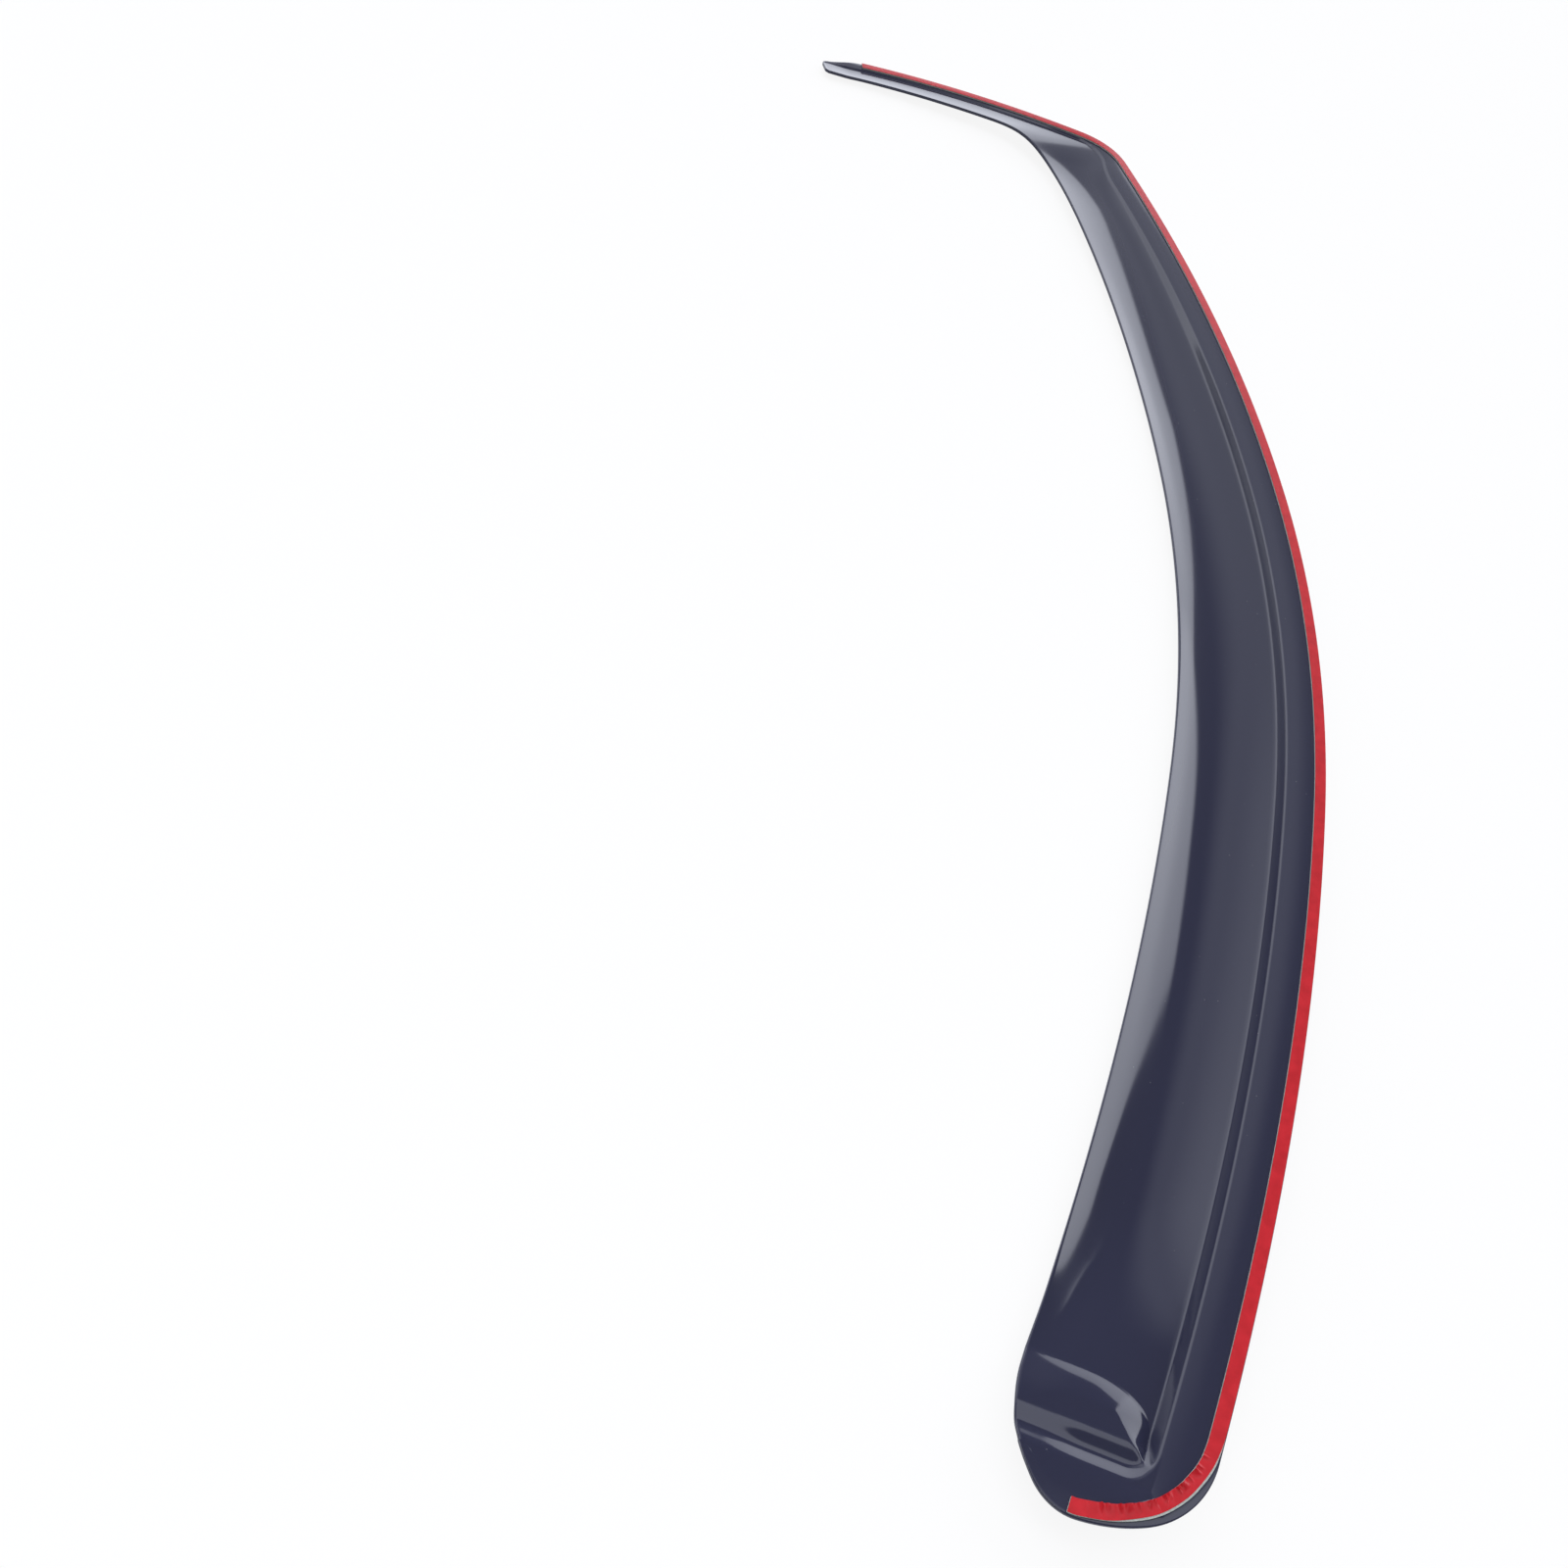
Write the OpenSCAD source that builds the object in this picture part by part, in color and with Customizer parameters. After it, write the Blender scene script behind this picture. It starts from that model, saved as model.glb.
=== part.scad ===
// Side window rain deflector, right hand piece, lying tape side up.
// One thin smoked moulding: a flat flange round the outer edge that carries the
// adhesive strip, a step down into a shallow trough, a closed near end with a
// raised hump, and a narrow arm that turns away at the far corner.

/* [Node] */
// Which piece to draw

/* [Outline] */
// Where the outer edge leaves the free edge, across
start_x = 153.3; // [120:0.1:180]
// Where the outer edge leaves the free edge, along
start_y = -289.2; // [-330:0.1:-260]
// Direction in which the outer edge sets off
start_turn = -68.3; // [-90:0.1:-40]
// Radius of the nose, first arc
nose_r1 = 75; // [50:1:120]
// Turn of the nose, first arc
nose_a1 = 10.7; // [5:0.1:20]
// Radius of the nose, second arc
nose_r2 = 22; // [15:0.5:40]
// Turn of the nose, second arc
nose_a2 = 55.8; // [30:0.1:70]
// Radius of the nose, third arc
nose_r3 = 79; // [50:1:120]
// Turn of the nose, third arc
nose_a3 = 20; // [10:0.1:40]
// Radius of the nose, fourth arc
nose_r4 = 42.7; // [30:0.1:60]
// Turn of the nose, fourth arc
nose_a4 = 56.8; // [40:0.1:70]
// Radius of the long side, near third
side_r1 = 1874; // [1200:1:3000]
// Turn of the long side, near third
side_a1 = 11.3; // [5:0.1:20]
// Radius of the long side, middle
side_r2 = 1077; // [700:1:2000]
// Turn of the long side, middle
side_a2 = 15; // [8:0.1:22]
// Radius of the long side, far third
side_r3 = 1418; // [900:1:2400]
// Turn of the long side, far third
side_a3 = 16.5; // [8:0.1:22]
// Radius of the far corner
corner_r = 56.5; // [40:0.5:90]
// Turn of the far corner
corner_a = 54.8; // [40:0.1:65]
// Radius of the arm
arm_r = 453; // [300:1:800]
// Turn of the arm
arm_a = 29.6; // [20:0.1:35]

/* [Width] */
// Greatest width, outer edge to free edge
body_w = 86.4; // [70:0.1:100]
// How far along the outer edge the width is greatest
widest_at = 465; // [300:1:600]
// Width lost by the start of the far corner
corner_loss = 16.2; // [5:0.1:25]
// Width of the arm just after the corner
arm_w = 28.4; // [24:0.1:36]
// Width of the arm at its tip
tip_w = 22.2; // [18:0.1:32]
// How far before the corner the free edge leaves the long side
turn_before = 82; // [60:1:140]
// How far after the start of the corner it joins the arm
turn_after = 145; // [110:1:190]
// Reach of its curve from the long side
turn_reach = 112; // [50:1:130]
// Reach of its curve from the arm
turn_arm_reach = 38; // [20:1:80]
// Extra width of the free edge beside the hump
end_flare = 0.6; // [0:0.1:4]

/* [Flange] */
// Width of the flange on the long side
flange_w = 21.5; // [18:0.1:28]
// Width of the flange on the arm
arm_flange_w = 7.6; // [7.2:0.1:12]
// Width of the soft roll between flange and wall
roll_w = 7; // [4:0.1:8]
// Drop of that roll
roll_d = 0.8; // [0.2:0.05:1.2]

/* [Trough] */
// Width of the wall beside the flange
wall_w = 4.6; // [3.5:0.1:7]
// Depth of the wall on the near half
wall_d = 6.3; // [3:0.1:8]
// Width of the wall on the arm
arm_wall_w = 3.2; // [2.5:0.1:5]
// Depth of the wall on the arm
arm_wall_d = 2.2; // [1.5:0.1:5]
// Sag of the trough floor on the near half
sag = 8; // [3:0.1:12]
// Sag of the floor just before the far corner
far_sag = 4.5; // [2:0.1:8]
// Sag of the arm floor
arm_sag = 0.9; // [0.5:0.1:3]
// Depth of the free edge below the flange
lip_d = 4.5; // [2:0.1:8]
// Depth of the free edge on the arm
arm_lip_d = 2; // [1:0.1:5]
// How much the sag leans towards the free edge on the near half
lip_bend = 0.5; // [0:0.05:0.9]
// And before the far corner, where it leans towards the wall
far_bend = -0.6; // [-0.9:0.05:0.5]
// How far before the corner that change begins
far_lead = 330; // [200:5:500]

/* [Near end] */
// Distance from the last full section back to the end wall
end_back = 22.5; // [15:0.5:28]
// Radius of the corner between side wall and end wall
end_corner = 11; // [6:0.5:16]
// How much shallower the free edge is at the end wall
lip_rise = 2.3; // [0:0.1:4]
// Length over which it deepens
lip_rise_len = 45; // [20:1:80]
// Width of the groove between end wall and hump, at the free edge
groove_w = 9; // [6:0.5:12]
// Share of that width left beside the side wall
groove_pinch = 0.35; // [0.2:0.05:1]
// Length of the hump along the trough
hump_len = 30; // [22:0.5:40]
// Length of each slope of the hump
hump_slope = 8; // [5:0.5:12]
// Height of the hump above the trough floor
hump_h = 7.5; // [3:0.1:9]
// Share of that height lost by the free edge
hump_fall = 0.7; // [0:0.05:0.8]
// Width of the slope from the side wall up to the hump
hump_side = 14; // [8:0.5:20]

/* [Tip] */
// How far the outer edge draws in beyond the tape
arm_trim = 5; // [0:0.1:6]
// Corner radius of the tip
tip_r = 5; // [3:0.5:11]
// Length over which the arm trough fades out
tip_fade = 25; // [15:1:40]

/* [Sheet] */
// Thickness of the sheet
sheet = 2.4; // [2:0.1:3]
// Radius of curvature across the piece
curve_across = 2500; // [1500:50:6000]
// Radius of curvature along the piece
curve_along = 12000; // [6000:500:30000]

/* [Adhesive strip] */
// Width of the foam tape
tape_w = 6; // [5:0.1:6.3]
// Thickness of the foam tape
tape_t = 1; // [0.6:0.05:1.2]
// Thickness of the liner film
liner_t = 0.2; // [0.15:0.05:0.4]
// Distance of the tape from the outer edge
tape_inset = 0.8; // [0.4:0.1:1.2]
// Where the tape starts, measured along the outer edge
tape_from = 31; // [24:0.5:40]
// Bare length of the arm beyond the tape
tape_bare = 36; // [28:0.5:50]
// Height of the puckers in the liner round the nose
pucker_h = 0.7; // [0.2:0.05:1]

/* [Rest] */
// Turn about the long axis as it lies
rest_roll = -6.90; // [-20:0.01:20]
// Turn about the cross axis as it lies
rest_pitch = 0.06; // [-20:0.01:20]

/* [Hidden] */
tape_colour = [0.55, 0.58, 0.52];
liner_colour = [0.80, 0.13, 0.18];
sheet_colour = [0.15, 0.16, 0.20];

// how finely each stretch is drawn, along the piece
steps_end = 10;
steps_hump = 8;
steps_mid = 3;
steps_side = 30;
steps_turn = 19;
steps_arm = 7;
steps_bare = 3;
tip_share = [0.65, 0.35, 0.13, 0.03, 0];
// and across it, as shares of each band
floor_share = [0.05, 0.13, 0.25, 0.38, 0.52, 0.66, 0.78, 0.88, 0.95, 0.985, 1];
wall_share = [0, 0.15, 0.3, 0.5, 0.7, 0.85, 0.96, 1.1];
roll_share = [0.35, 0.62, 0.84];

// outer edge: a chain of arcs, each turning left
arc_r = [nose_r1, nose_r2, nose_r3, nose_r4, side_r1, side_r2, side_r3, corner_r, arm_r];
arc_a = [nose_a1, nose_a2, nose_a3, nose_a4, side_a1, side_a2, side_a3, corner_a, arm_a];
arcs = len(arc_r);
function total(v, n) = n <= 0 ? 0 : v[n - 1] + total(v, n - 1);
arc_l = [for (k = [0:arcs - 1]) arc_r[k] * arc_a[k] * PI / 180];
arc_s = [for (k = [0:arcs]) total(arc_l, k)];
arc_h = [for (k = [0:arcs]) start_turn + total(arc_a, k)];
function swing(r, h, a) = r * [sin(h + a) - sin(h), cos(h) - cos(h + a)];
arc_step = [for (k = [0:arcs - 1]) swing(arc_r[k], arc_h[k], arc_a[k])];
function joint(k) = k == 0 ? [start_x, start_y] : joint(k - 1) + arc_step[k - 1];
arc_p = [for (k = [0:arcs]) joint(k)];
function which(s, k = 0) = k >= arcs - 1 || s < arc_s[k + 1] ? k : which(s, k + 1);
function turned(s, k) = (s - arc_s[k]) / arc_r[k] * 180 / PI;
function heading(s) = let (k = which(s)) arc_h[k] + turned(s, k);
function edge(s) = let (k = which(s)) arc_p[k] + swing(arc_r[k], arc_h[k], turned(s, k));
s_nose = arc_s[4];
s_corner = arc_s[7];
s_arm = arc_s[8];
s_end = arc_s[9];
s_tape = s_end - tape_bare;

function clamp(v) = max(0, min(1, v));
function ease(a, b, v) = let (t = clamp((v - a) / (b - a))) t * t * (3 - 2 * t);
function mix(a, b, t) = a * (1 - t) + b * t;
function inward(h) = [-sin(h), cos(h)];
function forward(h) = [cos(h), sin(h)];

// the free edge: set in from the outer edge, with one smooth curve round the inner corner
loss_rate = corner_loss / pow(s_corner - widest_at, 2);
s_turn = s_corner - turn_before;
s_slim = s_corner + turn_after;
flare_len = 35;
arm_lead = 60;
function flare(s) = end_flare * (1 - ease(s_nose, s_nose + flare_len, s));
function side_width(s) = body_w - loss_rate * pow(s - widest_at, 2) + flare(s);
function arm_width(s) = mix(arm_w, tip_w, clamp((s - s_slim) / (s_end - s_slim)));
function side_rim(s) = edge(s) + inward(heading(s)) * side_width(s);
function arm_rim(s) = edge(s) + inward(heading(s)) * arm_width(s);
function unit(v) = v / norm(v);
turn_curve = [
    side_rim(s_turn),
    side_rim(s_turn) + turn_reach * unit(side_rim(s_turn) - side_rim(s_turn - 1)),
    arm_rim(s_slim) + turn_arm_reach * unit(arm_rim(s_slim) - arm_rim(s_slim + 1)),
    arm_rim(s_slim)];
function curve(p, t) = len(p) == 1 ? p[0] : curve([for (k = [0:len(p) - 2]) mix(p[k], p[k + 1], t)], t);
function rim(s) =
    s <= s_turn ? side_rim(s) :
    s >= s_slim ? arm_rim(s) :
    curve(turn_curve, (s - s_turn) / (s_slim - s_turn));
function on_arm(s) = ease(s_corner - arm_lead, s_arm, s);
flange_lead = 25;
function full_flange(s) = mix(flange_w, arm_flange_w, ease(s_corner - flange_lead, s_arm, s));

// beyond the tape the flange fades to a seam and the outer edge draws in
seam = 0.6;
fade_gap = 2;
trim_gap = 4;
function trim(s) = arm_trim * ease(s_tape + fade_gap, s_end - trim_gap, s);
function flange(s) = mix(full_flange(s), arm_trim + seam, ease(s_tape + fade_gap, s_end - fade_gap, s));
function crease(s) = edge(s) + inward(heading(s)) * flange(s);

// near end: the end wall runs from the set back crease to the start of the edge
rim_start = edge(0);
crease_nose = crease(s_nose);
crease_start = crease_nose - end_back * forward(heading(s_nose));
rim_nose = rim(s_nose);
rim_knee = rim_nose - norm(rim_nose - rim_start) / 2 * forward(heading(s_nose));
knee_curve = [rim_start, rim_knee, rim_nose];
end_dir = unit(rim_start - crease_start);
end_out = [end_dir[1], -end_dir[0]];
function from_end(p) = (p - crease_start) * end_out;

// place along the outer edge that lies square to the flange corner, by halving
function square_on(s) = (crease_start - edge(s)) * forward(heading(s));
function find(lo, hi, n) =
    let (m = (lo + hi) / 2)
    n == 0 ? m :
    square_on(m) > 0 ? find(m, hi, n - 1) :
    find(lo, m, n - 1);
wall_gap = 15;
s_wall = find(tape_from + wall_gap, s_nose, 20);

// heights: a gentle bowl, with roll, wall and floor below it
bowl_x = 180;
bowl_y = 170;
function arch(d, r) = d * d / (2 * r);
function bowl(p) = arch(p[0] - bowl_x, curve_across) + arch(p[1] - bowl_y, curve_along);
function roll(d) = roll_d * pow(clamp((d + roll_w) / roll_w), 2);

// the wall: rounded at its crest, straight, then rounded at its foot
crest = 0.3;
foot = 0.85;
floor_at = 1.1;
full_drop = crest / 2 + (foot - crest) + (floor_at - foot) / 2;
function bend_tail(u) = pow(max(0, floor_at - u), 2) / (2 * (floor_at - foot));
function bend(u) =
    u <= 0 ? 0 :
    u < crest ? u * u / (2 * crest) :
    u < foot ? u - crest / 2 :
    full_drop - bend_tail(u);
function drop(u) = bend(u) / full_drop;
function round_in(a, b) =
    a < end_corner && b < end_corner ?
        end_corner - norm([end_corner - a, end_corner - b]) :
        min(a, b);
tip_run = 1.2;
function near_tip(s) = (s_end - s) * tip_run;
far_gap = 30;
function far(s) = ease(s_corner - far_lead, s_corner - far_gap, s);
slim_lead = 300;
function slimmer(s) = ease(s_nose + slim_lead, s_corner, s);
function wall_run(s) = mix(wall_w, arm_wall_w, slimmer(s));
function wall_fall(s) = mix(wall_d, arm_wall_d, slimmer(s));

// the hump: up from the groove, level, down into the trough, and lower at the free edge
function hump_along(e, v) =
    let (g = groove_w * mix(groove_pinch, 1, v))
    ease(g, g + hump_slope, e) * (1 - ease(hump_len, hump_len + hump_slope, e));
hump_foot = 2;
fall_from = 0.4;
function hump_across(r, v) = ease(hump_foot, hump_side, r) * (1 - hump_fall * ease(fall_from, 1, v));

// height of the trough at point p, r across from the crease, with l in all
near_len = 60;
far_off = 1000;
tip_depth = 0.25;
function lip(s, e) = mix(lip_d, arm_lip_d, far(s)) - lip_rise * (1 - ease(0, lip_rise_len, e));
function hang(s) = mix(mix(sag, far_sag, far(s)), arm_sag, on_arm(s));
function belly(s, v) = 4 * v * (1 - v) * (1 + mix(lip_bend, far_bend, far(s)) * (v - 0.5));
function trough(p, s, r, l) =
    let (e = s < s_nose + near_len ? max(0, from_end(p)) : far_off)
    let (d = min(round_in(r, e), near_tip(s)))
    let (w = wall_run(s))
    let (v = clamp((r - w) / (l - w)))
    let (floor_d = mix(wall_fall(s), lip(s, e), v))
    let (deep = floor_d + hang(s) * belly(s, v))
    let (tip = mix(tip_depth, 1, ease(0, tip_fade, s_end - s)))
    let (rise = hump_h * hump_along(e, v) * hump_across(r, v))
    drop(d / w) * (rise - deep * tip) - roll_d * (1 - v);

// rows across the piece: distance along the edge, crease point, free edge point
function spread(a, b, n) = [for (k = [1:n]) mix(a, b, k / n)];
hump_reach = 28;
row_s = concat(
    spread(s_nose, s_nose + hump_reach, steps_hump),
    spread(s_nose + hump_reach, s_nose + near_len, steps_mid),
    spread(s_nose + near_len, s_turn, steps_side),
    spread(s_turn, s_slim, steps_turn),
    spread(s_slim, s_tape, steps_arm),
    spread(s_tape, s_end - tip_r, steps_bare),
    [for (k = tip_share) s_end - tip_r * k]);
end_rows = [for (k = [0:steps_end]) let (t = k / steps_end)
    [mix(s_wall, s_nose, t), mix(crease_start, crease_nose, t), curve(knee_curve, t)]];
rows = concat(end_rows, [for (s = row_s) [s, crease(s), rim(s)]]);
last = len(rows) - 1;
tape_row = steps_end + steps_hump + steps_mid + steps_side + steps_turn + steps_arm;

function lift(p, z) = [p[0], p[1], bowl(p) + z];

// the tape lies a little further in along the tight bend of the nose
nose_inset = 0.6;
nose_lead_in = 12;
nose_lead_out = 30;
function round_nose(s) =
    ease(tape_from, tape_from + nose_lead_in, s) * (1 - ease(s_nose - nose_lead_out, s_nose, s));
function strip_in(s) = tape_inset + nose_inset * round_nose(s);
tape_side = 0.4;
function flange_part(s, e, c, n) =
    let (w = norm(c - e))
    let (k = min(1, w / (tape_inset + tape_w + tape_side)))
    let (a = strip_in(s) * k)
    let (b = (strip_in(s) + tape_w) * k)
    let (q = e + n * b)
    concat(
        [lift(e, -roll(-w)), lift(e + n * a, -roll(a - w)), lift(q, -roll(b - w))],
        [for (t = roll_share) lift(mix(q, c, t), -roll(-norm(c - q) * (1 - t)))]);
function trough_part(s, c, f) =
    let (l = norm(f - c))
    let (d = (f - c) / l)
    let (w = wall_run(s))
    let (w0 = w * floor_at)
    concat(
        [for (u = wall_share) let (r = u * w) lift(c + d * r, trough(c + d * r, s, r, l))],
        [for (v = floor_share) let (r = mix(w0, l, v)) lift(c + d * r, trough(c + d * r, s, r, l))]);
function tip_cut(s) =
    let (t = s_end - s)
    t < tip_r ? tip_r - sqrt(tip_r * tip_r - pow(tip_r - t, 2)) : 0;
function squeeze(row, cut) = cut == 0 ? row :
    let (a = row[0], b = row[len(row) - 1])
    let (m = (a + b) / 2)
    let (k = 1 - 2 * cut / norm([a[0] - b[0], a[1] - b[1]]))
    [for (p = row) [mix(m[0], p[0], k), mix(m[1], p[1], k), p[2]]];
function full_row(r) =
    let (n = inward(heading(r[0])))
    let (e = edge(r[0]) + n * trim(r[0]))
    squeeze(concat(flange_part(r[0], e, r[1], n), trough_part(r[0], r[1], r[2])), tip_cut(r[0]));
body = [for (r = rows) full_row(r)];
cols = len(body[0]) - 1;
crease_col = 3 + len(roll_share);

// nose flange: fans from the end wall line out to the outer edge, down to a point
fan = cols - crease_col;
fan_tape = round(fan * 0.62);
band_most = 0.55;
inset_most = 0.1;
fan_s = concat([s_wall], spread(s_wall, tape_from, fan_tape), spread(tape_from, 0, fan - fan_tape));
function fan_flange(k) =
    let (e = edge(fan_s[k]))
    let (c = [body[0][crease_col + k][0], body[0][crease_col + k][1]])
    let (w = norm(c - e))
    let (n = k <= fan_tape ? inward(heading(fan_s[k])) : (c - e) / w)
    let (b = min(strip_in(fan_s[k]) + tape_w, w * band_most))
    let (a = min(strip_in(fan_s[k]), w * inset_most))
    let (q = e + n * b)
    concat(
        [lift(e, 0), lift(e + n * a, 0), lift(q, 0)],
        [for (t = roll_share) lift(mix(q, c, t), (body[0][crease_col + k][2] - bowl(c)) * t * t)]);
nose = [for (k = [1:fan - 1]) fan_flange(k)];

// laying the piece down: a small turn, then down to the floor and centred
function lay(p) =
    let (x = p[0] * cos(rest_roll) + p[2] * sin(rest_roll))
    let (z = p[2] * cos(rest_roll) - p[0] * sin(rest_roll))
    [x, p[1] * cos(rest_pitch) - z * sin(rest_pitch), z * cos(rest_pitch) + p[1] * sin(rest_pitch)];

// sheet thickness, kept even on slopes
least_apart = 0.2;
most_steep = 2;
function apart(a, b) = norm([a[0] - b[0], a[1] - b[1]]);
function slope(a, b) = abs(a[2] - b[2]) / max(least_apart, apart(a, b));
function steep(g, i, j) =
    let (u = slope(g[i][max(0, j - 1)], g[i][min(cols, j + 1)]))
    let (v = slope(g[max(0, i - 1)][j], g[min(last, i + 1)][j]))
    min(most_steep, sqrt(1 + u * u + v * v));
function sink(p, k) = [p[0], p[1], p[2] - sheet * k];
body_under = [for (i = [0:last]) [for (j = [0:cols]) sink(body[i][j], steep(body, i, j))]];
nose_under = [for (r = nose) [for (p = r) sink(p, 1)]];

function flat(v) = [for (r = v) for (p = r) p];
visor_points = [for (p = concat(flat(body), flat(nose), flat(body_under), flat(nose_under))) lay(p)];
low = [for (k = [0:2]) min([for (p = visor_points) p[k]])];
high = [for (k = [0:2]) max([for (p = visor_points) p[k]])];
shift = [-(low[0] + high[0]) / 2, -(low[1] + high[1]) / 2, -low[2]];

// point numbers in the visor skin
body_n = (last + 1) * (cols + 1);
skin_n = body_n + (fan - 1) * crease_col;
function at_body(i, j) = i * (cols + 1) + j;
function at_nose(k, j) =
    k == 0 ? at_body(0, j) :
    k == fan ? at_body(0, cols) :
    j == crease_col ? at_body(0, crease_col + k) : body_n + (k - 1) * crease_col + j;
function quad(a, b, c, d) = [[a, b, c], [a, c, d]];
body_faces = [for (i = [0:last - 1]) for (j = [0:cols - 1])
    each quad(at_body(i, j), at_body(i + 1, j), at_body(i + 1, j + 1), at_body(i, j + 1))];
nose_faces = concat(
    [for (k = [0:fan - 2]) for (j = [0:crease_col - 1])
        each quad(at_nose(k + 1, j), at_nose(k, j), at_nose(k, j + 1), at_nose(k + 1, j + 1))],
    [for (j = [0:crease_col - 1]) [at_nose(fan, 0), at_nose(fan - 1, j), at_nose(fan - 1, j + 1)]]);
skin_faces = concat(body_faces, nose_faces);
border = concat(
    [for (k = [fan:-1:1]) at_nose(k, 0)],
    [for (i = [0:last]) at_body(i, 0)],
    [for (j = [1:cols]) at_body(last, j)],
    [for (i = [last - 1:-1:1]) at_body(i, cols)]);
border_n = len(border);
edge_faces = [for (k = [0:border_n - 1]) let (a = border[k], b = border[(k + 1) % border_n])
    each quad(b, a, a + skin_n, b + skin_n)];
under_faces = [for (f = skin_faces) [f[0] + skin_n, f[2] + skin_n, f[1] + skin_n]];

// faces are listed counter-clockwise seen from outside, and turned here
module skin(points, faces) {
    polyhedron(
        points = [for (p = points) p + shift],
        faces = [for (f = faces) [f[2], f[1], f[0]]],
        convexity = 10);
}

module visor() {
    color(sheet_colour)
        skin(visor_points, concat(skin_faces, edge_faces, under_faces));
}

// adhesive strip: two columns of the flange carried along from the nose to the arm
tape_base = concat(
    [for (k = [fan_tape:-1:1]) [nose[k - 1][1], nose[k - 1][2]]],
    [for (i = [0:tape_row]) [body[i][1], body[i][2]]]);
tape_last = len(tape_base) - 1;
nose_len = fan_tape + steps_end;

function raise(p, h) = [p[0], p[1], p[2] + h];
function pucker(i) = i > 1 && i < nose_len - 1 && i % 2 == 0 ? pucker_h : 0;
function ribbon(base, lo, hi, wave) = [for (i = [0:tape_last]) let (fold = wave * pucker(i))
    each [
        raise(base[i][0], lo),
        raise(base[i][1], lo + fold),
        raise(base[i][1], hi + fold),
        raise(base[i][0], hi)]];

// the upper faces are split along the same diagonal as the lower ones, so that bands stack closely
function side(a, b, k) = k < 2 ? quad(a, b, b + 4, a + 4) : quad(b, b + 4, a + 4, a);
ribbon_faces = concat(
    quad(3, 2, 1, 0),
    [for (i = [0:tape_last - 1]) for (k = [0:3]) each side(4 * i + k, 4 * i + (k + 1) % 4, k)],
    quad(4 * tape_last, 4 * tape_last + 1, 4 * tape_last + 2, 4 * tape_last + 3));

module foam_tape() {
    color(tape_colour)
        skin([for (p = ribbon(tape_base, 0, tape_t, 0)) lay(p)], ribbon_faces);
}

module release_liner() {
    color(liner_colour)
        skin([for (p = ribbon(tape_base, tape_t, tape_t + liner_t, 1)) lay(p)], ribbon_faces);
}

visor();
foam_tape();
release_liner();
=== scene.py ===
from math import sin, cos, pi, sqrt, radians, hypot, degrees
import bmesh
import bpy
from mathutils import Matrix, Vector


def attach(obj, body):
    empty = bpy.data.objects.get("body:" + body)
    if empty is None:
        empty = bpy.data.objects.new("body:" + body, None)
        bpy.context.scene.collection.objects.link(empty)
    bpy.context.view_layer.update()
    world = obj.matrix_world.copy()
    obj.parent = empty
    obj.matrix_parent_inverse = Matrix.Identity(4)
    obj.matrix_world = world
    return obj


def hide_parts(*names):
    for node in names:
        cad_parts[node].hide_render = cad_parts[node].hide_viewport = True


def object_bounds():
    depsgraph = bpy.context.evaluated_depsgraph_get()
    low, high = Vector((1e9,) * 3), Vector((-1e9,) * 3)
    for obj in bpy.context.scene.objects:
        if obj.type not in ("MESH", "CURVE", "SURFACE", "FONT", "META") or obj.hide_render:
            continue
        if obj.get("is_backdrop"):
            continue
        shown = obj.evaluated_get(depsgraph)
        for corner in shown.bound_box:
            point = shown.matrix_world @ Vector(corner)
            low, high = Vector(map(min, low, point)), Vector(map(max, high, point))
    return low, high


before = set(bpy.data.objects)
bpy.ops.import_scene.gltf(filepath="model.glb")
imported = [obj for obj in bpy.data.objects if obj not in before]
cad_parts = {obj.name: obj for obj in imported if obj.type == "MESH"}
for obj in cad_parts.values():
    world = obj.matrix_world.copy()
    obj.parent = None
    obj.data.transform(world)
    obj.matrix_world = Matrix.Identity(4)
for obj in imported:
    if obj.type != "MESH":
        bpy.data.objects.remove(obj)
cad_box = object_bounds()

# The sheet is drawn again from the solids' own sizes, with finer rows and some softer forms.
# Lengths are millimetres and angles degrees up to place(), which lays a point down in metres.
# s is the way along the outer edge, e the way from the near end of the trough, r the way in from
# the crease where flange and trough meet, l the way from the crease to the free edge, and v the
# share of the floor crossed.

# outer edge: where it sets off, and its arcs as (radius, turn)
START = (153.3, -289.2)
START_TURN = -68.3
NOSE_ARCS = [(75, 10.7), (22, 55.8), (79, 20), (42.7, 56.8)]
SIDE_ARCS = [(1874, 11.3), (1077, 15), (1418, 16.5)]
CORNER_ARC = (56.5, 54.8)
ARM_ARC = (453, 29.6)
ARCS = NOSE_ARCS + SIDE_ARCS + [CORNER_ARC, ARM_ARC]

# width from the outer edge to the free edge
BODY_W = 86.4
WIDEST_AT = 465
CORNER_LOSS = 16.2
ARM_W = 31.2
TIP_W = 24.5
END_FLARE = 0.6
FLARE_LEN = 35
ARM_TRIM = 5
TRIM_AFTER_TAPE = 2
TRIM_BEFORE_END = 4

# the free edge's bend into the arm
TURN_BEFORE = 82
TURN_AFTER = 145
TURN_REACH = 112
TURN_ARM_REACH = 38

# flange, and the roll by which it falls towards the crease
FLANGE_W = 21.5
FLANGE_LEAD = 25
ARM_FLANGE_W = 7.6
TIP_FLANGE = 0.6
TIP_FLANGE_AT = 2
ROLL_W = 12
ROLL_D = 1.1

# wall between the crease and the floor, and its profile as shares of its run
WALL_W = 4.6
WALL_D = 6.3
ARM_WALL_W = 3.2
ARM_WALL_D = 1.3
WALL_SLIMS_AT = 300
WALL_FADE = 330
DROP_ROUND = 0.3
DROP_STRAIGHT = 0.85
DROP_END = 1.1
END_WALL_W = 6.5
END_FALL = 0.9
END_FALL_LEN = 20
END_REACH = 300
TIP_WALL = 1.2

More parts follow.
